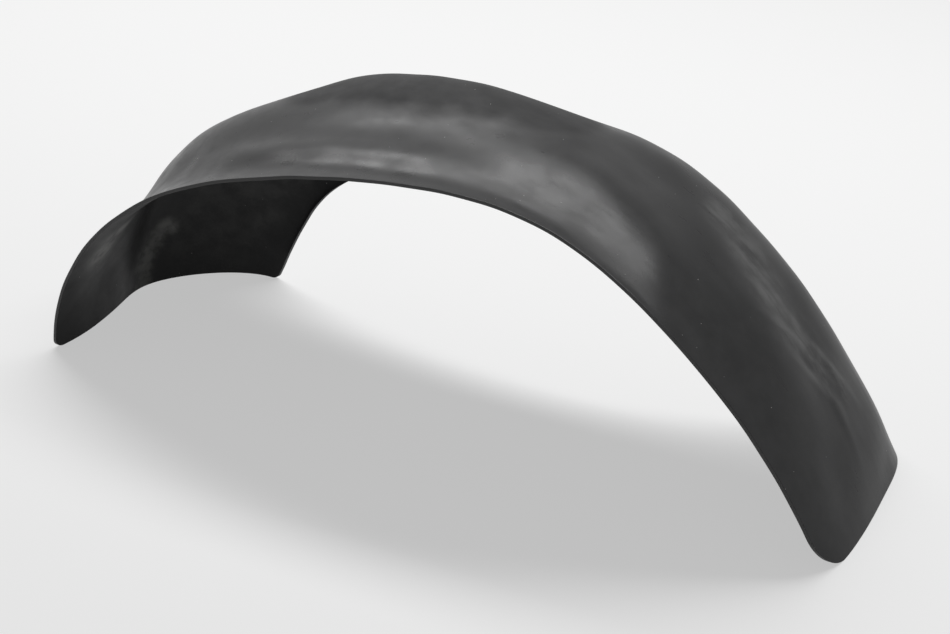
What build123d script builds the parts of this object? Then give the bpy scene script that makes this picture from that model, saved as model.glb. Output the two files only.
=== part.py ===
from build123d import *
from math import acos, cos, degrees, radians, sin
from typing import NamedTuple
import os

# Wheel arch liner: one plastic sheet formed into an arch over a road wheel and trimmed flat at both feet.
# X runs along the car from the front foot to the rear foot, Y from the outer lip in towards the car,
# Z up. The feet stand on Z = 0 and the origin is under the middle of the liner.

# Sheet
SHEET = 2.5  # wall of the formed sheet
FOOT_STOCK = 25.0  # sheet formed below each foot and trimmed away
LIP_STOCK = 8.0  # sheet formed beyond the outer lip and trimmed away

# Outer lip, a chain of tangent arcs in one upright plane: slope at the front foot, then the radius of
# each arc and the angle that it turns through, in degrees
FRONT_FOOT_SLOPE = 86.0
FRONT_LEG_RADIUS = 160.0
FRONT_LEG_ANGLE = 30.5
FRONT_HAUNCH_RADIUS = 280.0
FRONT_HAUNCH_ANGLE = 41.3
CROWN_RADIUS = 1120.0
CROWN_ANGLE = 8.0
REAR_HAUNCH_RADIUS = 202.0
REAR_HAUNCH_ANGLE = 36.0
REAR_LEG_RADIUS = 434.0

# Lines that run along the liner, by their distance in from the outer lip
ROLL_LINE = 16.0
PANEL_LINE = 48.0
SWELL_LINE = 82.0
RIDGE_LINE = 118.0
SHOULDER_LINE = 156.0
INNER_EDGE_LINE = 182.0

# Rise of the sheet beside the lip, at the roll line: the lip flares at the front and turns down at the rear
ROLL_RISE_FRONT = -3.5
ROLL_RISE_REAR = 3.0

# Rounded corners of the trimmed sheet
OUTER_CORNER_FRONT = 8.0
OUTER_CORNER_REAR = 28.0
INNER_CORNER_FRONT = 9.0
INNER_CORNER_REAR = 12.0


class Section(NamedTuple):
    """Rise of the sheet above the outer lip at five lines, square to the lip."""

    panel: float
    swell: float
    ridge: float
    shoulder: float
    inner_edge: float


# Cross-sections at even steps along the lip
FRONT_FOOT = Section(panel=-6.0, swell=0.0, ridge=-3.5, shoulder=-28.5, inner_edge=-82.0)
FRONT_LEG = Section(panel=-2.0, swell=1.0, ridge=8.0, shoulder=-24.0, inner_edge=-97.0)
FRONT_HAUNCH = Section(panel=1.0, swell=14.0, ridge=16.5, shoulder=-12.0, inner_edge=-77.5)
CROWN_FRONT = Section(panel=5.0, swell=16.0, ridge=24.0, shoulder=18.0, inner_edge=-67.0)
CROWN = Section(panel=7.0, swell=16.0, ridge=26.0, shoulder=4.5, inner_edge=-68.0)
CROWN_REAR = Section(panel=8.0, swell=12.0, ridge=7.0, shoulder=0.5, inner_edge=-57.5)
REAR_HAUNCH = Section(panel=6.5, swell=8.0, ridge=5.5, shoulder=3.5, inner_edge=-50.0)
REAR_LEG = Section(panel=5.5, swell=7.0, ridge=5.5, shoulder=-0.5, inner_edge=-46.0)
REAR_FOOT = Section(panel=5.5, swell=4.5, ridge=3.0, shoulder=2.0, inner_edge=-43.0)
SECTIONS = (
    FRONT_FOOT,
    FRONT_LEG,
    FRONT_HAUNCH,
    CROWN_FRONT,
    CROWN,
    CROWN_REAR,
    REAR_HAUNCH,
    REAR_LEG,
    REAR_FOOT,
)


def clockwise_arc(start, slope, radius, turn):
    """An arc that leaves start at a slope in degrees and turns clockwise."""
    heading = (cos(radians(slope)), sin(radians(slope)))
    return JernArc(start=start, tangent=heading, radius=radius, arc_size=-turn)


def outer_lip():
    """The lip from below the front foot, over the crown, to below the rear foot."""
    foot_height = FRONT_LEG_RADIUS * cos(radians(FRONT_FOOT_SLOPE))
    slope = degrees(acos((foot_height - FOOT_STOCK) / FRONT_LEG_RADIUS))
    leg_turn = slope - FRONT_FOOT_SLOPE + FRONT_LEG_ANGLE
    arcs = []
    start = Vector(0, -FOOT_STOCK)
    for radius, turn in (
        (FRONT_LEG_RADIUS, leg_turn),
        (FRONT_HAUNCH_RADIUS, FRONT_HAUNCH_ANGLE),
        (CROWN_RADIUS, CROWN_ANGLE),
        (REAR_HAUNCH_RADIUS, REAR_HAUNCH_ANGLE),
    ):
        arc = clockwise_arc(start, slope, radius, turn)
        arcs.append(arc)
        start = arc @ 1
        slope -= turn
    rear_centre_height = start.Y - REAR_LEG_RADIUS * cos(radians(slope))
    end_slope = -degrees(acos((-FOOT_STOCK - rear_centre_height) / REAR_LEG_RADIUS))
    arcs.append(clockwise_arc(start, slope, REAR_LEG_RADIUS, slope - end_slope))
    return Plane.XZ * Wire(arcs)


def section_points(section, along):
    """Points of the outer face across the sheet, from the stock beyond the lip to the inner edge."""
    roll_rise = ROLL_RISE_FRONT + along * (ROLL_RISE_REAR - ROLL_RISE_FRONT)
    stock_rise = -roll_rise * LIP_STOCK / ROLL_LINE
    return [
        Vector(-LIP_STOCK, stock_rise),
        Vector(0, 0),
        Vector(ROLL_LINE, roll_rise),
        Vector(PANEL_LINE, section.panel),
        Vector(SWELL_LINE, section.swell),
        Vector(RIDGE_LINE, section.ridge),
        Vector(SHOULDER_LINE, section.shoulder),
        Vector(INNER_EDGE_LINE, section.inner_edge),
    ]


def girth_parameters(points):
    """How far round the sheet each point lies, from 0 at the first to 1 at the last."""
    girths = [0.0]
    for point, next_point in zip(points, points[1:]):
        girths.append(girths[-1] + (next_point - point).length)
    return [girth / girths[-1] for girth in girths]


def section_rows(lip, steps):
    """The points of every section, each set square to the lip at its own step along it."""
    rows = []
    for section, along in zip(SECTIONS, steps):
        distance = along * lip.length
        station = Plane(
            origin=lip.position_at(distance, position_mode=PositionMode.LENGTH),
            x_dir=(0, 1, 0),
            z_dir=lip.tangent_at(distance, position_mode=PositionMode.LENGTH),
        )
        rows.append([station.from_local_coords(point) for point in section_points(section, along)])
    return rows


def formed_sheet():
    """The sheet as it leaves the mould: a skin on a net of sections and rails, thickened inwards."""
    last = len(SECTIONS) - 1
    steps = [place / last for place in range(len(SECTIONS))]
    rows = section_rows(outer_lip(), steps)
    girths = girth_parameters(section_points(CROWN, 0.5))
    sections = [Edge.make_spline(row, parameters=girths) for row in rows]
    rails = [Edge.make_spline(list(rail), parameters=steps) for rail in zip(*rows)]
    skin = Face.make_gordon_surface(sections, rails)
    return Solid.thicken(skin, SHEET)


def corner_cutter(radius, start, length):
    """The waste outside a rounded outer corner, running along X from start."""
    waste = Rectangle(2 * radius, 2 * radius) - Pos(radius, radius) * Circle(radius)
    return Pos(start, 0, 0) * extrude(Plane.YZ * waste, length)


def trimmed_liner():
    """The formed sheet cut flat along the lip and at both feet, with its corners rounded."""
    liner = split(formed_sheet(), bisect_by=Plane.XY, keep=Keep.TOP)
    liner = split(liner, bisect_by=Plane.XZ, keep=Keep.BOTTOM)
    box = liner.bounding_box()
    middle = box.center().X
    liner -= corner_cutter(OUTER_CORNER_FRONT, middle, -box.size.X)
    liner -= corner_cutter(OUTER_CORNER_REAR, middle, box.size.X)
    for end, radius in ((0, INNER_CORNER_FRONT), (-1, INNER_CORNER_REAR)):
        foot = liner.faces().filter_by(Plane.XY).group_by(Axis.Z)[0].sort_by(Axis.X)[end]
        liner = fillet(foot.edges().sort_by(Axis.Y)[-1], radius)
    return liner


def centred(liner):
    """The liner with the origin under the middle of its box."""
    middle = liner.bounding_box().center()
    return Pos(-middle.X, -middle.Y, 0) * liner


os.makedirs("parts", exist_ok=True)
arch_liner = centred(trimmed_liner())
export_step(arch_liner, "parts/arch_liner.step")
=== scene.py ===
# %% [markdown]
# # A wheel arch liner
# The object is one black plastic sheet, formed over a mould into an arch that covers the top of a car's
# road wheel. It stands on its two trimmed feet. The CAD solid gives the true form, and this script gives
# it a smooth skin, a satin plastic finish and a plain studio.

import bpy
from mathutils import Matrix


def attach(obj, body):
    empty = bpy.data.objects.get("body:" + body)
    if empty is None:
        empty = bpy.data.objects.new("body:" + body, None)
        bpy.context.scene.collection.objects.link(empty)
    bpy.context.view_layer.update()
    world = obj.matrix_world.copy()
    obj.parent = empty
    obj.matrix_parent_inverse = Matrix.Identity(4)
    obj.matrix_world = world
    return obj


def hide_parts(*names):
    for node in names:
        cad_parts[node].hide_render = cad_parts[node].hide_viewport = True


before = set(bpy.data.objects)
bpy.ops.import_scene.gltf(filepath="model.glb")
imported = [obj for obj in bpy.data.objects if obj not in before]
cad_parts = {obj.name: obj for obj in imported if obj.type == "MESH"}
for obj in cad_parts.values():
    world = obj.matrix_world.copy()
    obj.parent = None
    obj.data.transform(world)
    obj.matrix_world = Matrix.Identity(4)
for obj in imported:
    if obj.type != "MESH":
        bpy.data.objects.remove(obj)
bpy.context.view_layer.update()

# %% [markdown]
# ## The net of the sheet
# A formed sheet has no flat faces, so it is described by a net: cross-sections stand at even steps along
# the outer lip, and rails run through the matching points of the sections. The packed mesh could be
# shown as it is, but its facets would break up the long soft highlights of the plastic. So the same net
# is written here again, in millimetres, and the skin is worked out from it as finely as it is needed.

# %% The outer lip, a chain of tangent arcs
from math import acos, cos, degrees, pi, radians, sin

import numpy as np

MM = 0.001  # metres
FOOT_STOCK = 25.0  # sheet formed below each foot and trimmed away
FRONT_FOOT_SLOPE = 86.0  # degrees
LIP_ARCS = ((160.0, 30.5), (280.0, 41.3), (1120.0, 8.0), (202.0, 36.0))  # radius and turn in degrees
REAR_LEG_RADIUS = 434.0
ROUNDING = 1e-6


def arc_point(start, slope, radius, swept):
    """The point of a clockwise arc after it has swept an angle in degrees."""
    first, last = radians(slope), radians(slope - swept)
    return start + radius * np.array([sin(first) - sin(last), cos(last) - cos(first)])


def lip_spans():
    """Start point, slope in degrees, radius and turn of each arc, from below the front foot."""
    front_radius = LIP_ARCS[0][0]
    foot_height = front_radius * cos(radians(FRONT_FOOT_SLOPE))
    slope = degrees(acos((foot_height - FOOT_STOCK) / front_radius))
    extra = slope - FRONT_FOOT_SLOPE
    point = np.array([0.0, -FOOT_STOCK])
    spans = []
    for radius, turn in LIP_ARCS:
        spans.append((point, slope, radius, turn + extra))
        point = arc_point(point, slope, radius, turn + extra)
        slope -= turn + extra
        extra = 0.0
    centre_height = point[1] - REAR_LEG_RADIUS * cos(radians(slope))
    end_slope = -degrees(acos((-FOOT_STOCK - centre_height) / REAR_LEG_RADIUS))
    spans.append((point, slope, REAR_LEG_RADIUS, slope - end_slope))
    return spans


def lip_at(distance, spans):
    """Point and slope of the lip at a distance along it."""
    for start, slope, radius, turn in spans:
        length = radius * radians(turn)
        if distance <= length + ROUNDING:
            break
        distance -= length
    swept = degrees(distance / radius)
    return arc_point(start, slope, radius, swept), slope - swept


LIP_SPANS = lip_spans()
LIP_LENGTH = sum(radius * radians(turn) for _, _, radius, turn in LIP_SPANS)
print("lip length with its stock:", round(LIP_LENGTH, 1), "mm")

# %% The cross-sections
LIP_STOCK = 8.0  # sheet formed beyond the lip and trimmed away
ROLL_LINE = 16.0  # millimetres in from the lip, as the five lines after it
LINES = (48.0, 82.0, 118.0, 156.0, 182.0)
ROLL_RISE_FRONT = -3.5
ROLL_RISE_REAR = 3.0
RISES = (  # rise above the lip at the five lines, one row for each section from front to rear
    (-6.0, 0.0, -3.5, -28.5, -82.0),
    (-2.0, 1.0, 8.0, -24.0, -97.0),
    (1.0, 14.0, 16.5, -12.0, -77.5),
    (5.0, 16.0, 24.0, 18.0, -67.0),
    (7.0, 16.0, 26.0, 4.5, -68.0),
    (8.0, 12.0, 7.0, 0.5, -57.5),
    (6.5, 8.0, 5.5, 3.5, -50.0),
    (5.5, 7.0, 5.5, -0.5, -46.0),
    (5.5, 4.5, 3.0, 2.0, -43.0),
)
CROWN = 4  # the section in the middle
STEPS = np.linspace(0.0, 1.0, len(RISES))


def section_points(rises, along):
    """Distance in from the lip and rise above it, from the stock beyond the lip to the inner edge."""
    roll = ROLL_RISE_FRONT + along * (ROLL_RISE_REAR - ROLL_RISE_FRONT)
    lead = [(-LIP_STOCK, -roll * LIP_STOCK / ROLL_LINE), (0.0, 0.0), (ROLL_LINE, roll)]
    return np.array(lead + list(zip(LINES, rises)))


crown_points = section_points(RISES[CROWN], STEPS[CROWN])
GIRTHS = np.concatenate([[0.0], np.cumsum(np.linalg.norm(np.diff(crown_points, axis=0), axis=1))])
GIRTHS /= GIRTHS[-1]
LIP_GIRTH = GIRTHS[1]


def net_of_points():
    """The net in millimetres, one row for each section and one column for each rail."""
    net = []
    for rises, along in zip(RISES, STEPS):
        point, slope = lip_at(along * LIP_LENGTH, LIP_SPANS)
        points = section_points(rises, along)
        x = point[0] - points[:, 1] * sin(radians(slope))
        z = point[1] + points[:, 1] * cos(radians(slope))
        net.append(np.stack([x, points[:, 0], z], axis=1))
    return np.array(net)


NET = net_of_points()
print("net of", NET.shape[0], "sections and", NET.shape[1], "rails")

# %% [markdown]
# ## A smooth skin through the net
# A cubic spline bends as little as a springy lath does, so splines run both ways through the net: first
# the slopes at every crossing are found, and then each cell of the net is a smooth patch between its
# corners. The slopes also give the direction square to the skin, which the sheet's thickness needs.

# %% Slopes at the crossings
END_POINTS = 4  # a cubic through this many points gives the slope at an end


def spline_slopes(places, values):
    """First derivatives of the cubic spline through values at places, along the first axis."""
    count = len(places)
    gaps = np.diff(places)
    flat = values.reshape(count, -1)
    system = np.eye(count)
    right = np.zeros_like(flat)
    for end, near in ((0, slice(0, END_POINTS)), (count - 1, slice(count - END_POINTS, count))):
        powers = np.vander(places[near] - places[end], increasing=True)
        right[end] = np.linalg.solve(powers, flat[near])[1]
    for k in range(1, count - 1):
        before, after = 1.0 / gaps[k - 1], 1.0 / gaps[k]
        system[k, k - 1 : k + 2] = before, 2.0 * (before + after), after
        rise_before = (flat[k] - flat[k - 1]) * before**2
        rise_after = (flat[k + 1] - flat[k]) * after**2
        right[k] = 3.0 * (rise_before + rise_after)
    return np.linalg.solve(system, right).reshape(values.shape)


NET_ALONG = spline_slopes(STEPS, NET)
NET_ACROSS = spline_slopes(GIRTHS, NET.swapaxes(0, 1)).swapaxes(0, 1)
NET_TWIST = spline_slopes(STEPS, NET_ACROSS)
print("slopes and twists at", NET_TWIST.shape[0] * NET_TWIST.shape[1], "crossings")

# %% Patches between the crossings
OUTER_FACE = 0.0  # depth below the outer face, in millimetres
INNER_FACE = 2.5  # the thickness of the sheet


def hermite(places, at):
    """Cell numbers, and the weights of a cell's end values and end slopes with their derivatives."""
    cell = np.clip(np.searchsorted(places, at, side="right") - 1, 0, len(places) - 2)
    gap = places[cell + 1] - places[cell]
    t = (at - places[cell]) / gap
    weights = [
        (2 * t**3 - 3 * t**2 + 1, (6 * t**2 - 6 * t) / gap),
        (3 * t**2 - 2 * t**3, (6 * t - 6 * t**2) / gap),
        ((t**3 - 2 * t**2 + t) * gap, 3 * t**2 - 4 * t + 1),
        ((t**3 - t**2) * gap, 3 * t**2 - 2 * t),
    ]
    return cell, weights


def skin_at(along, across):
    """Points of the outer face and its derivatives along and across the sheet."""
    along, across = np.broadcast_arrays(along, across)
    row, row_weights = hermite(STEPS, along)
    column, column_weights = hermite(GIRTHS, across)
    tables = ((NET, NET_ACROSS), (NET_ALONG, NET_TWIST))
    point = np.zeros(along.shape + (3,))
    d_along = np.zeros_like(point)
    d_across = np.zeros_like(point)
    for i, (value_i, slope_i) in enumerate(row_weights):
        for j, (value_j, slope_j) in enumerate(column_weights):
            corner = tables[i // 2][j // 2][row + i % 2, column + j % 2]
            point += (value_i * value_j)[..., None] * corner
            d_along += (slope_i * value_j)[..., None] * corner
            d_across += (value_i * slope_j)[..., None] * corner
    return point, d_along, d_across


def face_at(along, across, depth):
    """Points of the sheet at a depth, the outer face's derivatives and its outward direction."""
    point, d_along, d_across = skin_at(along, across)
    outward = np.cross(d_along, d_across)
    outward /= np.linalg.norm(outward, axis=-1, keepdims=True)
    return point - depth * outward, d_along, d_across, outward


crown_lip, _, _, crown_outward = face_at(STEPS[CROWN], LIP_GIRTH, OUTER_FACE)
print("lip at the crown:", crown_lip.round(1), "mm, facing", crown_outward.round(2))

# %% [markdown]
# ## Trimming the sheet
# The formed sheet is larger than the liner and is cut back: flat at the feet, along one upright plane at
# the lip, and with rounded corners. Cutting a mesh with planes leaves ragged strips of small faces. Here
# the cut lines are found first, and the grid is then spread between them, so that every row of faces
# follows an edge. A corner is rounded by drawing its square patch of the grid into a quarter disc.

# %% Where the faces of the sheet meet the cutting planes
FRONT_GUESS = 0.03  # about where the feet are cut, in shares of the lip's length
REAR_GUESS = 0.97
LIP_TRIES = 4  # each try brings a cut line closer
FOOT_TRIES = 8


def lip_line(along, depth):
    """How far across the sheet a face at a depth meets the upright plane of the lip."""
    across = np.full_like(along, LIP_GIRTH)
    for _ in range(LIP_TRIES):
        point, _, d_across, _ = face_at(along, across, depth)
        across = across - point[..., 1] / d_across[..., 1]
    return across


def across_at(along, share, depth):
    """The place across the sheet for a share of the way from the lip to the inner edge."""
    lip = lip_line(along, depth)
    return lip + (1.0 - lip) * share


def foot_line(share, guess, depth):
    """How far along the sheet a face at a depth meets the floor, for shares of the way across."""
    along = np.full_like(share, guess)
    for _ in range(FOOT_TRIES):
        point, d_along, _, _ = face_at(along, across_at(along, share, depth), depth)
        along = along - point[..., 2] / d_along[..., 2]
    return along


front_foot = foot_line(np.array([0.0, 1.0]), FRONT_GUESS, OUTER_FACE)
print("front foot cut at shares of the lip's length:", front_foot.round(4))

# %% A grid that follows every edge
ROWS = 340
COLUMNS = 110
GATHER = 0.5  # 0 spreads the grid evenly, and 1 draws it most to its ends
NEIGHBOUR = 3  # columns between the two points that give the run of a foot
CORNERS = {  # radius of each rounded corner
    ("front", "lip"): 8.0,
    ("rear", "lip"): 28.0,
    ("front", "inner"): 9.0,
    ("rear", "inner"): 12.0,
}


def gathered(count):
    """Shares from 0 to 1 that lie closer together at both ends."""
    even = np.linspace(0.0, 1.0, count)
    return (1.0 - GATHER) * even + GATHER * (1.0 - np.cos(pi * even)) / 2.0


def rounded(first, second):
    """Shares of the way in from the two sides of a square corner, drawn in to a quarter disc."""
    near = (first < 1.0) & (second < 1.0)
    a = np.where(near, 1.0 - first, 0.0)
    b = np.where(near, 1.0 - second, 0.0)
    round_first = 1.0 - a * np.sqrt(1.0 - b**2 / 2.0)
    round_second = 1.0 - b * np.sqrt(1.0 - a**2 / 2.0)
    return np.where(near, round_first, first), np.where(near, round_second, second)


def corner_reach(corner, columns, cut, depth):
    """How far along and across the sheet the rounding of a corner reaches, in millimetres."""
    end, side = corner
    radius = CORNERS[corner]
    two = [0, NEIGHBOUR] if side == "lip" else [-1, -1 - NEIGHBOUR]
    along = cut[two]
    point, d_along, _, _ = face_at(along, across_at(along, columns[two], depth), depth)
    edge = d_along[0] / np.linalg.norm(d_along[0])
    if side == "lip":
        return radius / abs(edge[2]), radius
    foot = (point[1] - point[0]) / np.linalg.norm(point[1] - point[0])
    angle = np.arccos(foot @ (edge if end == "front" else -edge))
    return radius / np.tan(angle / 2.0), radius / np.tan(angle / 2.0)


def trimmed_places(depth):
    """Places along and across the sheet of every grid point of a face at a depth."""
    columns = gathered(COLUMNS)
    front = foot_line(columns, FRONT_GUESS, depth)
    rear = foot_line(columns, REAR_GUESS, depth)
    along_share, across_share = np.meshgrid(gathered(ROWS), columns, indexing="ij")
    for corner in CORNERS:
        end, side = corner
        column = 0 if side == "lip" else -1
        cut = front if end == "front" else rear
        _, d_along, d_across, _ = face_at(cut, across_at(cut, columns, depth), depth)
        length = np.linalg.norm(d_along[column]) * (rear[column] - front[column])
        width = np.linalg.norm(d_across[column]) * (1.0 - LIP_GIRTH)
        reach_along, reach_across = corner_reach(corner, columns, cut, depth)
        up = (along_share if end == "front" else 1.0 - along_share) * length / reach_along
        inward = (across_share if side == "lip" else 1.0 - across_share) * width / reach_across
        up, inward = rounded(up, inward)
        up, inward = up * reach_along / length, inward * reach_across / width
        along_share = up if end == "front" else 1.0 - up
        across_share = inward if side == "lip" else 1.0 - inward
    start = np.interp(across_share, columns, front)
    stop = np.interp(across_share, columns, rear)
    along = start + (stop - start) * along_share
    return along, across_at(along, across_share, depth)


outer_places = trimmed_places(OUTER_FACE)
inner_places = trimmed_places(INNER_FACE)
print("grid of", outer_places[0].shape, "points on each face of the sheet")

# %% [markdown]
# ## Swells left by the forming
# The net gives the form of the mould. A real sheet is less true: as it cools it pulls away here and
# there and keeps long shallow swells and hollows, which show only in the way they bend the light. A noise
# texture would put them anywhere, and sculpted ones could not be read back, so each is an ellipse with a
# place, a turn, two half sizes and a height. Both faces move together, so the sheet keeps its thickness,
# and the swells die out towards the lip and the feet, where the edges were trimmed true.

# %% Shallow swells and hollows
from typing import NamedTuple


class Swell(NamedTuple):
    """A swell of the sheet, or a hollow where its height is below zero."""

    along: float  # share of the lip's length
    inward: float  # millimetres in from the lip
    turn: float  # degrees from the run of the lip
    length: float  # half length in millimetres
    width: float  # half width in millimetres
    height: float  # millimetres


SHOULDER_SWELL = Swell(0.27, 55.0, -22.0, 110.0, 22.0, 2.0)
CROWN_SWELLS = (
    Swell(0.45, 37.0, -5.0, 105.0, 16.0, 3.4),
    Swell(0.35, 38.0, -3.0, 60.0, 16.0, 2.4),
    Swell(0.46, 88.0, 5.0, 55.0, 12.0, 1.2),
)
HAUNCH_SWELLS = (
    Swell(0.61, 8.0, -8.0, 40.0, 10.0, -0.7),
    Swell(0.72, 26.0, -52.0, 55.0, 16.0, 1.4),
    Swell(0.685, 30.0, -6.0, 40.0, 28.0, 1.6),
    Swell(0.66, 84.0, -8.0, 70.0, 18.0, -1.3),
)
LEG_SWELLS = (
    Swell(0.75, 102.0, -25.0, 130.0, 25.0, 2.0),
    Swell(0.83, 114.0, -38.0, 95.0, 24.0, -2.2),
    Swell(0.95, 121.0, 115.0, 80.0, 28.0, 1.7),
)
SWELLS = (SHOULDER_SWELL,) + CROWN_SWELLS + HAUNCH_SWELLS + LEG_SWELLS


def swell_height(swell, along, inward):
    """How far a swell lifts the sheet at places along it and distances in from the lip."""
    turn = radians(swell.turn)
    run, reach = (along - swell.along) * LIP_LENGTH, inward - swell.inward
    lengthwise = run * cos(turn) + reach * sin(turn)
    crosswise = reach * cos(turn) - run * sin(turn)
    return swell.height * np.exp(-((lengthwise / swell.length) ** 2) - (crosswise / swell.width) ** 2)


print(len(SWELLS), "swells, the highest", max(swell.height for swell in SWELLS), "mm")

# %% [markdown]
# ## Creases and unevenness
# On the far side of the rear leg the sheet was nipped as it came off the mould, and a few fine creases
# run down the leg there. They are swells too, only long and narrow. Last comes an unevenness that no
# sheet is free of: two dozen low waves, crossing at all angles, that keep an outline or a highlight
# from looking drawn with a ruler. The waves are drawn from a fixed seed, so they are always the same.

# %% Creases, waves and the whole relief
CREASES = (
    Swell(0.815, 97.0, 30.0, 26.0, 4.5, 0.6),
    Swell(0.845, 104.0, 22.0, 24.0, 4.5, 0.6),
    Swell(0.860, 93.0, 18.0, 24.0, 4.5, 0.5),
    Swell(0.890, 100.0, -12.0, 28.0, 4.5, 0.5),
    Swell(0.860, 121.0, 12.0, 30.0, 4.0, 0.6),
)
WAVES = 24
WAVE_HEIGHT = 0.05
SHORTEST_WAVE = 35.0
LONGEST_WAVE = 120.0
WAVE_SEED = 5
LIP_FADE = 8.0
FOOT_FADE = 25.0
wave_dice = np.random.default_rng(WAVE_SEED)
wave_lengths = wave_dice.uniform(SHORTEST_WAVE, LONGEST_WAVE, WAVES)
wave_turns = wave_dice.uniform(0.0, pi, WAVES)
wave_starts = wave_dice.uniform(0.0, 2.0 * pi, WAVES)


def unevenness(along, inward):
    """The sum of the low waves, in millimetres."""
    total = np.zeros_like(inward)
    for length, turn, start in zip(wave_lengths, wave_turns, wave_starts):
        travel = along * LIP_LENGTH * cos(turn) + inward * sin(turn)
        total += WAVE_HEIGHT * np.sin(2.0 * pi * travel / length + start)
    return total


def relief(along, point):
    """The lift of the sheet at places along it, for the points of one of its faces."""
    inward, height = point[..., 1], point[..., 2]
    swells = sum(swell_height(swell, along, inward) for swell in SWELLS + CREASES)
    lip_fade = 1.0 - np.exp(-((inward / LIP_FADE) ** 2))
    foot_fade = 1.0 - np.exp(-((height / FOOT_FADE) ** 2))
    return (swells * lip_fade + unevenness(along, inward)) * foot_fade


print(len(CREASES), "creases and", WAVES, "waves of", WAVE_HEIGHT, "mm")

# %% [markdown]
# ## The closed shell
# The liner is a sheet with two faces and a cut rim. A Solidify modifier would thicken one face, but its
# rim would lean with the sheet, where the real one was cut along planes. So both faces are grids of
# their own, each trimmed at its own depth, and a ring of quads joins them. The quads of the ring are
# marked by a number on each face, which the finish reads later.

# %% The mesh of the shell
import bpy

CUT_EDGE = "cut_edge"


def shell_faces(rows, columns):
    """Quads of the outer face, the inner face and the rim that joins them."""
    outer = np.arange(rows * columns).reshape(rows, columns)
    corners = (outer[:-1, :-1], outer[1:, :-1], outer[1:, 1:], outer[:-1, 1:])
    outside = np.stack(corners, axis=-1).reshape(-1, 4)
    inside = outside[:, ::-1] + outer.size
    loop = np.concatenate([outer[:-1, 0], outer[-1, :-1], outer[:0:-1, -1], outer[0, :0:-1]])
    following = np.roll(loop, -1)
    rim = np.stack([following, loop, loop + outer.size, following + outer.size], axis=-1)
    return np.concatenate([outside, inside, rim]), len(rim)


def shell_points(centre):
    """Points of the outer face, then of the inner face, in millimetres from the centre of the feet."""
    points = []
    for places, depth in ((outer_places, OUTER_FACE), (inner_places, INNER_FACE)):
        point, _, _, outward = face_at(*places, depth)
        points.append(point + relief(places[0], point)[..., None] * outward)
    return np.concatenate(points).reshape(-1, 3) - centre


def feet_centre():
    """The point under the middle of the plain sheet, which is the origin of the CAD part."""
    points = np.concatenate([face_at(*outer_places, OUTER_FACE)[0], face_at(*inner_places, INNER_FACE)[0]])
    middle = (points.min(axis=(0, 1)) + points.max(axis=(0, 1))) / 2.0
    return np.array([middle[0], middle[1], 0.0])


CENTRE = feet_centre()
faces, rim_count = shell_faces(ROWS, COLUMNS)
points = shell_points(CENTRE) * MM
shell_mesh = bpy.data.meshes.new("liner_shell")
shell_mesh.from_pydata(points.tolist(), [], faces.tolist())
shell_mesh.validate()
shell_mesh.shade_smooth()
on_rim = np.arange(len(faces)) >= len(faces) - rim_count
cut_marks = shell_mesh.attributes.new(CUT_EDGE, "FLOAT", "FACE")
cut_marks.data.foreach_set("value", on_rim.astype(np.float32))
liner_shell = bpy.data.objects.new("liner_shell", shell_mesh)
bpy.context.scene.collection.objects.link(liner_shell)
print("shell of", len(shell_mesh.vertices), "points and", len(shell_mesh.polygons), "quads")

# %% [markdown]
# ## Check against the CAD solid
# The shell was worked out afresh from the same lines as the CAD solid, so the two must agree. The nearest
# point of the solid is looked up for a share of the shell's points. Away from the swells the distance is
# a few tenths of a millimetre, which is the unevenness, and it is largest where swells overlap.

# %% How far the shell lies from the CAD solid
from mathutils.bvhtree import BVHTree

SAMPLE_EVERY = 23  # points
cad_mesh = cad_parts["arch_liner"].data
cad_points = [vertex.co for vertex in cad_mesh.vertices]
cad_tree = BVHTree.FromPolygons(cad_points, [polygon.vertices for polygon in cad_mesh.polygons])
nearest = [cad_tree.find_nearest(point) for point in points[::SAMPLE_EVERY].tolist()]
gaps = np.array([distance for _, _, _, distance in nearest]) / MM
print("distance to the CAD solid: mean", gaps.mean().round(3), "largest", gaps.max().round(3), "mm")

# %% [markdown]
# ## The cut edge
# A knife or a trimming saw leaves the edge of a plastic sheet square, with corners that are only just
# broken. A perfectly sharp edge would never catch the light, so the edges round the rim get a small
# bevel. They are the only edges that turn sharply, so they are found by their angle.

# %% Break the edges of the rim
EDGE_BREAK = 0.5 * MM
SHARP_ANGLE = 50.0  # degrees
bevel = liner_shell.modifiers.new("broken_edge", "BEVEL")
bevel.width = EDGE_BREAK
bevel.segments = 2
bevel.limit_method = "ANGLE"
bevel.angle_limit = radians(SHARP_ANGLE)
print("rim of", rim_count, "quads, broken by", EDGE_BREAK / MM, "mm")

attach(liner_shell, "root")
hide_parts("arch_liner")

# %% [markdown]
# ## Shader sums as plain sums
# A finish is built from nodes, and most of them only add, multiply or compare. Wiring each one by hand
# hides the idea, so one small class wraps a socket and lets Python's own operators add the nodes. A
# second class keeps a material's nodes together, and its node method makes any other kind of node.

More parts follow.
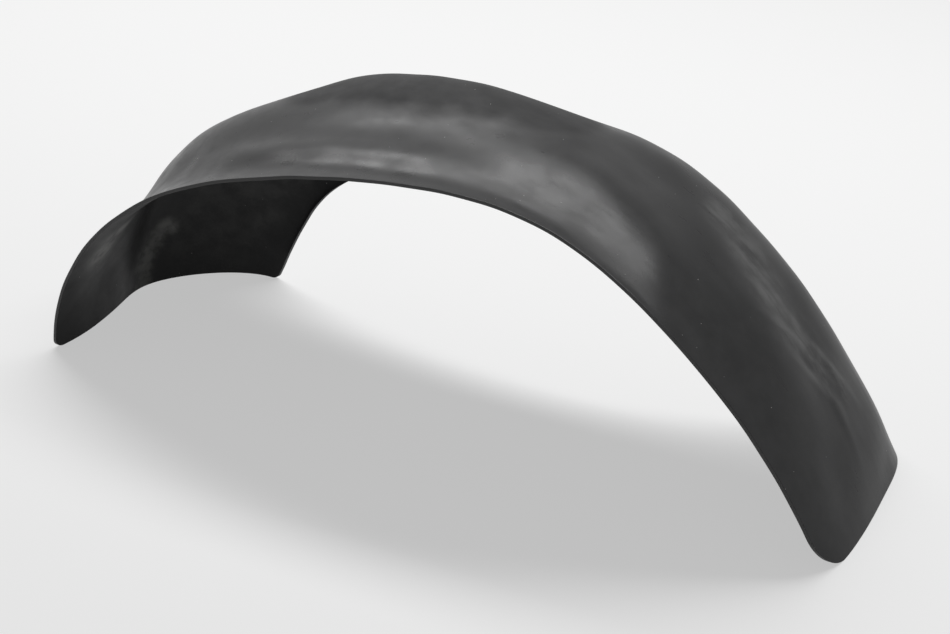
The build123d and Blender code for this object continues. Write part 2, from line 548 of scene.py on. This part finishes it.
# %% Sockets that do sums
class Reading:
    """An output socket. Sums and comparisons with it add the nodes that work them out."""

    def __init__(self, finish, socket):
        self.finish = finish
        self.socket = socket

    def sum(self, operation, first, second):
        """A Math node for numbers, or a Vector Math node for vectors."""
        vector = self.socket.type == "VECTOR"
        kind = "ShaderNodeVectorMath" if vector else "ShaderNodeMath"
        return self.finish.node(kind, {"operation": operation}, {0: first, 1: second})

    def __add__(self, other):
        return self.sum("ADD", self, other)

    def __radd__(self, other):
        return self.sum("ADD", other, self)

    def __sub__(self, other):
        return self.sum("SUBTRACT", self, other)

    def __rsub__(self, other):
        return self.sum("SUBTRACT", other, self)

    def __mul__(self, other):
        return self.sum("MULTIPLY", self, other)

    def __rmul__(self, other):
        return self.sum("MULTIPLY", other, self)

    def __gt__(self, other):
        return self.sum("GREATER_THAN", self, other)

    def __lt__(self, other):
        return self.sum("LESS_THAN", self, other)


print("a reading knows:", [name for name, made in vars(Reading).items() if callable(made)])

# %% Sets of nodes
MIX_SHARE, MIX_FIRST, MIX_SECOND, MIX_RESULT = 0, 6, 7, 2  # a Mix node's sockets for colours


class Finish:
    """The nodes of one material or of the world."""

    def __init__(self, tree):
        self.tree = tree
        tree.nodes.clear()

    def node(self, kind, settings=None, sockets=None, output=0):
        """A new node: its settings first, then the values or links of its sockets."""
        node = self.tree.nodes.new(kind)
        for name, value in (settings or {}).items():
            setattr(node, name, value)
        for name, value in (sockets or {}).items():
            if isinstance(value, Reading):
                self.tree.links.new(value.socket, node.inputs[name])
            else:
                node.inputs[name].default_value = value
        return Reading(self, node.outputs[output]) if node.outputs else node

    def mix(self, share, first, second):
        """A colour between two others."""
        sockets = {MIX_SHARE: share, MIX_FIRST: first, MIX_SECOND: second}
        return self.node("ShaderNodeMix", {"data_type": "RGBA"}, sockets, MIX_RESULT)

    def ramp(self, value, low, high):
        """0 at low, 1 at high, and a smooth change between them."""
        ends = {"Value": value, "From Min": low, "From Max": high}
        return self.node("ShaderNodeMapRange", {"interpolation_type": "SMOOTHSTEP"}, ends)


def new_finish(name):
    """A material and its empty set of nodes."""
    material = bpy.data.materials.new(name)
    material.use_nodes = True
    return material, Finish(material.node_tree)


satin, nodes = new_finish("satin_black_sheet")
print("finish", satin.name, "starts with", len(satin.node_tree.nodes), "nodes")

# %% [markdown]
# ## Satin black plastic
# The liner is black polyethylene with the dull shine of a sheet that was heated, drawn over a mould and
# left as it came. It is never one even gloss: the sheet is a little smoother where it stretched, and a
# pale bloom clouds it. A single roughness would look like paint, so broad and fine noise move the
# roughness and the colour, and a fine grain moves the surface.

# %% The bare plastic
CLOUD_ROUGHNESS = 0.55
NOISE_MEAN = 0.5
BLACK = (0.017, 0.017, 0.0174, 1.0)
BLOOM = (0.026, 0.026, 0.0266, 1.0)
SATIN = 0.33  # mean roughness
BROAD_SHIFT = 0.12  # how far each noise moves the roughness
MIDDLING_SHIFT = 0.08
place = nodes.node("ShaderNodeTexCoord", output="Object")


def cloud(scale, detail, where=place):
    """Noise from 0 to 1 in the object's own space, with a scale in turns per metre."""
    sockets = {"Vector": where, "Scale": scale, "Detail": detail, "Roughness": CLOUD_ROUGHNESS}
    return nodes.node("ShaderNodeTexNoise", {}, sockets)


broad = cloud(scale=9.0, detail=3.0)
middling = cloud(scale=60.0, detail=4.0)
grain = cloud(scale=1400.0, detail=2.0)
plastic = nodes.mix(nodes.ramp(middling + broad, low=0.8, high=1.4), BLACK, BLOOM)
roughness = SATIN + (broad - NOISE_MEAN) * BROAD_SHIFT + (middling - NOISE_MEAN) * MIDDLING_SHIFT
print("bare plastic between", BLACK[0], "and", BLOOM[0])

# %% [markdown]
# ## Places on the sheet
# Wear, dust and painted highlights keep to certain places on the sheet. Painted masks would need an image,
# so each place is a row of soft discs round points of the sheet. The sheet is thin, so a disc would show
# on both faces: the normal tells them apart, as it points away from the origin outside and towards it
# inside.

# %% Soft discs, and the two faces of the sheet
SOFT_CORE = 0.15  # share of a disc's radius within which it is whole
INWARD_SAMPLES = 200
INWARD_STEPS = np.linspace(LIP_GIRTH, 1.0, INWARD_SAMPLES)
INWARD_LINE = skin_at(STEPS[CROWN], INWARD_STEPS)[0][:, 1]


class Patch(NamedTuple):
    """A row of soft discs on one face of the sheet."""

    depth: float  # millimetres below the outer face
    core: float  # share of a disc's radius
    discs: tuple  # share of the lip's length, millimetres in from the lip, radius in millimetres


def spot(along, inward, depth):
    """A point of the sheet in the object's own space, in metres."""
    across = np.interp(inward, INWARD_LINE, INWARD_STEPS)
    return (face_at(np.array(along), across, depth)[0] - CENTRE) * MM


def soft_discs(patch):
    """1 in the middle of each disc of a patch, 0 outside them all."""
    mask = 0.0
    for along, inward, radius in patch.discs:
        sockets = {0: place, 1: spot(along, inward, patch.depth).tolist()}
        away = nodes.node("ShaderNodeVectorMath", {"operation": "DISTANCE"}, sockets, "Value")
        disc = nodes.ramp(away, low=radius * MM, high=patch.core * radius * MM)
        mask = disc.sum("MAXIMUM", disc * disc, mask)
    return mask


from_origin = {0: place, 1: nodes.node("ShaderNodeTexCoord", output="Normal")}
outward_share = nodes.node("ShaderNodeVectorMath", {"operation": "DOT_PRODUCT"}, from_origin, "Value")
outside = outward_share > 0.0
inside = outward_share < 0.0
print("places across the sheet from", INWARD_LINE[0].round(1), "to", INWARD_LINE[-1].round(1), "mm")

# %% [markdown]
# ## Rubbed patches
# Handling has rubbed the sheet grey down the far side of the rear leg and on the front shoulder. The cut
# edge is painted greyer than the faces, partly as a knife leaves it and partly as a painted highlight
# along the edge. The marks on the leg are drawn out along it, so the noise that breaks them up is
# stretched that way. The mark on each face of the mesh gives the edge.

# %% Where the outer face is rubbed
STREAK_TURN = 42.0  # degrees, the lean of the rear leg
STREAK_STRETCH = 6.0
NOISE_SHARE = 0.5  # of a second noise that is added to a first
LEG_GREY = 0.65
SHOULDER_GREY = 0.3
# The cut edge is painted greyer, partly as its own colour and partly as a painted highlight along the
# edge.
EDGE_GREY_AND_HIGHLIGHT = 0.8
LEG_RUB = Patch(OUTER_FACE, SOFT_CORE, (
    (0.72, 136.0, 38.0),
    (0.75, 126.0, 40.0),
    (0.78, 113.0, 42.0),
    (0.81, 107.0, 42.0),
    (0.84, 107.0, 40.0),
    (0.87, 116.0, 36.0),
))
SHOULDER_RUB = Patch(OUTER_FACE, SOFT_CORE, ((0.21, 95.0, 30.0), (0.25, 80.0, 30.0)))

lean = (0.0, radians(STREAK_TURN), 0.0)
along_leg = {"Vector": place, "Rotation": lean, "Scale": (STREAK_STRETCH, 1.0, 1.0)}
leg_place = nodes.node("ShaderNodeMapping", {"vector_type": "TEXTURE"}, along_leg)
streak = cloud(scale=75.0, detail=5.0, where=leg_place)
leg_breaks = nodes.ramp(streak + middling * NOISE_SHARE, low=0.60, high=0.95)
leg_marks = outside * soft_discs(LEG_RUB) * leg_breaks * LEG_GREY
shoulder_breaks = nodes.ramp(middling, low=0.3, high=0.8)
shoulder_marks = outside * soft_discs(SHOULDER_RUB) * shoulder_breaks * SHOULDER_GREY
on_edge = nodes.node("ShaderNodeAttribute", {"attribute_name": CUT_EDGE}, {}, "Fac")
# The grey on the edge is partly a painted highlight along it.
marks = leg_marks + shoulder_marks + on_edge * EDGE_GREY_AND_HIGHLIGHT
print("rubbed in", len(LEG_RUB.discs), "places on the leg and", len(SHOULDER_RUB.discs), "on the shoulder")

# %% [markdown]
# ## Dust, and a painted highlight in the fold
# A pale streak is painted along the fold at the foot of the front leg and in patches up the fold, as a
# painted highlight where the fold catches the light. Dust has settled in patches beside the lip and as a
# thin film on the back wall. A little more is strewn over the whole sheet as single specks. Specks made
# as meshes would be thousands of pieces, so a cell pattern gives one dot to each cell and most cells are
# left empty.

# %% The painted highlight in the fold, the dust inside, and loose specks
PATCH_COVER = 0.9
FILM_COVER = 0.16
STREAK_CORE = 0.3
FILM_CORE = 0.5
SPECK_CELLS = 210.0  # in a metre
SPECK_RADIUS = 0.07  # of a cell
EMPTY_CELLS = 0.92  # of all cells
# The discs along the fold paint a highlight there. The two beside the lip are dust.
FOLD_HIGHLIGHT_AND_LIP_DUST = Patch(INNER_FACE, SOFT_CORE, (
    (0.03, 112.0, 20.0),
    (0.045, 116.0, 20.0),
    (0.06, 122.0, 20.0),
    (0.075, 129.0, 20.0),
    (0.09, 136.0, 20.0),
    (0.13, 30.0, 30.0),
    (0.15, 36.0, 34.0),
))
# A painted highlight: a pale streak along the fold, where it catches the light.
FOLD_HIGHLIGHT = Patch(INNER_FACE, STREAK_CORE, (
    (0.030, 118.0, 13.0),
    (0.038, 118.0, 12.0),
    (0.046, 120.0, 11.0),
    (0.055, 122.0, 10.0),
))
BACK_WALL = Patch(INNER_FACE, FILM_CORE, ((0.09, 160.0, 60.0), (0.15, 165.0, 60.0), (0.21, 165.0, 60.0)))

# The fold discs and the fold streak are a painted highlight. The lip discs and the back wall are dust.
patch_breaks = nodes.ramp(middling + streak * NOISE_SHARE, low=0.5, high=0.9)
fold_highlight_and_lip_dust = inside * soft_discs(FOLD_HIGHLIGHT_AND_LIP_DUST) * patch_breaks * PATCH_COVER
fold_highlight = inside * soft_discs(FOLD_HIGHLIGHT) * nodes.ramp(middling, low=0.2, high=0.6)
wall_film = inside * soft_discs(BACK_WALL) * nodes.ramp(middling, low=0.2, high=0.8) * FILM_COVER
cells = {"Vector": place, "Scale": SPECK_CELLS}
to_speck = nodes.node("ShaderNodeTexVoronoi", {}, cells, "Distance")
cell_colour = nodes.node("ShaderNodeTexVoronoi", {}, cells, "Color")
lot = nodes.node("ShaderNodeSeparateColor", {}, {0: cell_colour})
specks = (to_speck < SPECK_RADIUS) * (lot > EMPTY_CELLS)
# Dust and the painted highlight in the fold together.
inside_dust_and_fold_highlight = specks.sum("MAXIMUM", fold_highlight_and_lip_dust, fold_highlight + wall_film)
dust_and_fold_highlight = specks.sum("MAXIMUM", specks, inside_dust_and_fold_highlight)
print("specks in about", round(100 * (1 - EMPTY_CELLS)), "of 100 cells")

# %% [markdown]
# ## Dull and smooth places
# The crest of the bulge and the whole inside are duller than the rest, and the haunch and the sheet beside
# the lip are smoother, where the hot sheet was drawn tight. These are shifts of one roughness, because the
# plastic under them is the same. With them the finish is whole.

# %% The whole finish
# The grey of the rubs, also used for the painted highlight along the cut edge.
RUBBED_AND_EDGE_HIGHLIGHT_GREY = (0.13, 0.13, 0.13, 1.0)
# The pale colour of the dust, also used for the painted highlight along the fold.
DUST_AND_FOLD_HIGHLIGHT = (0.30, 0.30, 0.29, 1.0)
GLOSS = 0.16  # specular level
GRAIN_HEIGHT = 0.03 * MM
GRAIN_STRENGTH = 0.25
INSIDE_DULL = 0.4
CREST_CORE = 0.55
STREAK_SHIFT = 0.3  # how far each mark moves the roughness
MARK_SHIFT = 0.12
DULL_SHIFT = 0.28
DRAWN_SHIFT = 0.08
CREST = Patch(OUTER_FACE, CREST_CORE, (
    (0.36, 130.0, 52.0),
    (0.40, 128.0, 54.0),
    (0.44, 126.0, 56.0),
    (0.48, 126.0, 56.0),
    (0.52, 126.0, 56.0),
    (0.56, 126.0, 54.0),
))
DRAWN = Patch(OUTER_FACE, SOFT_CORE, (
    (0.38, 25.0, 26.0),
    (0.42, 24.0, 28.0),
    (0.46, 21.0, 28.0),
    (0.50, 21.0, 28.0),
    (0.58, 42.0, 44.0),
    (0.62, 42.0, 46.0),
    (0.66, 32.0, 44.0),
    (0.69, 24.0, 34.0),
))

dull = soft_discs(CREST) + inside * INSIDE_DULL
drawn = outside * soft_discs(DRAWN)
rubbed_sheet = roughness + (streak - NOISE_MEAN) * STREAK_SHIFT + marks * MARK_SHIFT
worn = rubbed_sheet + dull * DULL_SHIFT - drawn * DRAWN_SHIFT
# The colour carries the rubs, the dust, and painted highlights along the fold and the cut edge.
colour = nodes.mix(dust_and_fold_highlight, nodes.mix(marks, plastic, RUBBED_AND_EDGE_HIGHLIGHT_GREY), DUST_AND_FOLD_HIGHLIGHT)
grain_sockets = {"Strength": GRAIN_STRENGTH, "Distance": GRAIN_HEIGHT, "Height": grain}
pimple = nodes.node("ShaderNodeBump", {}, grain_sockets)
look = {"Base Color": colour, "Roughness": worn, "Normal": pimple, "Specular IOR Level": GLOSS}
surface = nodes.node("ShaderNodeBsdfPrincipled", {}, look)
nodes.node("ShaderNodeOutputMaterial", {}, {"Surface": surface})
shell_mesh.materials.append(satin)
print("finish", satin.name, "has", len(satin.node_tree.nodes), "nodes")

# %% [markdown]
# ## The studio
# A product like this is photographed on a white sweep under large soft lights. The floor is a pale plane
# that keeps the liner's shadow. The white of the background is for the camera and for reflections only,
# so that it adds no light to the liner.

# %% The floor
WHITE = (1.0, 1.0, 1.0, 1.0)
PAPER = (0.82, 0.82, 0.82, 1.0)
FLOOR_HALF = 8.0  # metres
FLOOR_LIFT = 0.50  # how far the floor is lifted to white where it is seen
RAYS_SEEN = ("Is Camera Ray", "Is Glossy Ray", "Is Transmission Ray")
corners = [(-FLOOR_HALF, -FLOOR_HALF, 0), (FLOOR_HALF, -FLOOR_HALF, 0)]
corners += [(FLOOR_HALF, FLOOR_HALF, 0), (-FLOOR_HALF, FLOOR_HALF, 0)]
floor_mesh = bpy.data.meshes.new("studio_floor")
floor_mesh.from_pydata(corners, [], [(0, 1, 2, 3)])
studio_floor = bpy.data.objects.new("studio_floor", floor_mesh)
bpy.context.scene.collection.objects.link(studio_floor)


def seen_directly(finish):
    """1 for rays from the camera, and for those that it sees by reflection or through glass."""
    camera_ray, glossy, through = [finish.node("ShaderNodeLightPath", output=ray) for ray in RAYS_SEEN]
    return camera_ray.sum("MAXIMUM", camera_ray.sum("MAXIMUM", camera_ray, glossy), through)


paper, paper_nodes = new_finish("white_paper")
matt = paper_nodes.node("ShaderNodeBsdfDiffuse", {}, {"Color": PAPER})
white = paper_nodes.node("ShaderNodeEmission", {}, {"Color": WHITE, "Strength": 1.0})
lift = seen_directly(paper_nodes) * FLOOR_LIFT
paper_surface = paper_nodes.node("ShaderNodeMixShader", {}, {0: lift, 1: matt, 2: white})
paper_nodes.node("ShaderNodeOutputMaterial", {}, {"Surface": paper_surface})
floor_mesh.materials.append(paper)
print("floor", 2 * FLOOR_HALF, "m wide")

# %% The backdrop
FILL = 0.12
PALE = (0.8, 0.8, 0.8, 1.0)
world = bpy.data.worlds.new("studio")
world.use_nodes = True
bpy.context.scene.world = world
world_nodes = Finish(world.node_tree)
fill = world_nodes.node("ShaderNodeBackground", {}, {"Color": PALE, "Strength": FILL})
backdrop = world_nodes.node("ShaderNodeBackground", {}, {"Color": WHITE, "Strength": 1.0})
sky = world_nodes.node("ShaderNodeMixShader", {}, {0: seen_directly(world_nodes), 1: fill, 2: backdrop})
world_nodes.node("ShaderNodeOutputWorld", {}, {"Surface": sky})
print("fill light", FILL)

# %% [markdown]
# ## One long softbox
# The broad streaks of light on the liner are reflections of one long lamp above and behind it. Several
# small lamps would leave several small spots, so one strip is hung across the far side, and tipped so that
# it is lower towards the front foot. Its power, with the weak fill of the world, lights the floor to about
# the level at which a colour renders as it is written.

# %% The lamp
from mathutils import Quaternion, Vector

SOFTBOX_SIZE = (3.2, 0.36)  # metres
SOFTBOX_POWER = 42.0  # watts
SOFTBOX_AZIMUTH = 192.0  # degrees: 0 is in front of the lip and 90 is at the rear foot
SOFTBOX_ELEVATION = 61.5
SOFTBOX_ROLL = -10.0
SOFTBOX_AWAY = 1.75  # metres from the point that it faces
AIM = Vector((0.0, 0.0, 0.12))

turn, tilt = radians(SOFTBOX_AZIMUTH), radians(SOFTBOX_ELEVATION)
towards_lamp = Vector((sin(turn) * cos(tilt), -cos(turn) * cos(tilt), sin(tilt)))
lamp_data = bpy.data.lights.new("overhead_softbox", "AREA")
lamp_data.shape = "RECTANGLE"
lamp_data.size, lamp_data.size_y = SOFTBOX_SIZE
lamp_data.energy = SOFTBOX_POWER
softbox = bpy.data.objects.new("overhead_softbox", lamp_data)
softbox.location = AIM + towards_lamp * SOFTBOX_AWAY
roll = Quaternion((0.0, 0.0, 1.0), radians(SOFTBOX_ROLL))
softbox.rotation_euler = (towards_lamp.to_track_quat("Z", "Y") @ roll).to_euler()
bpy.context.scene.collection.objects.link(softbox)
print("softbox of", SOFTBOX_SIZE, "m and", SOFTBOX_POWER, "W")

# %% [markdown]
# ## The camera
# The photograph looks down on the outer lip from the rear corner, with a long lens. The place and the
# angles were found by matching the outline of the liner, so they are plain numbers here.

# %% Camera
LENS = 75.0
SENSOR = 36.0
CAMERA_PLACE = (0.609883, -1.133803, 0.798685)
LOOK_DOWN = 29.5599  # degrees
LOOK_TURN = 28.0
camera_data = bpy.data.cameras.new("camera")
camera_data.lens = LENS
camera_data.sensor_width = SENSOR
camera = bpy.data.objects.new("camera", camera_data)
camera.location = CAMERA_PLACE
camera.rotation_euler = (radians(90.0 - LOOK_DOWN), 0.0, radians(LOOK_TURN))
bpy.context.scene.collection.objects.link(camera)
bpy.context.scene.camera = camera
bpy.context.scene.view_settings.view_transform = "Standard"
print("camera at", tuple(camera.location))

# %% [markdown]
# ## The size stays
# The swells may lift the sheet a little, but the liner keeps the size of the CAD part.
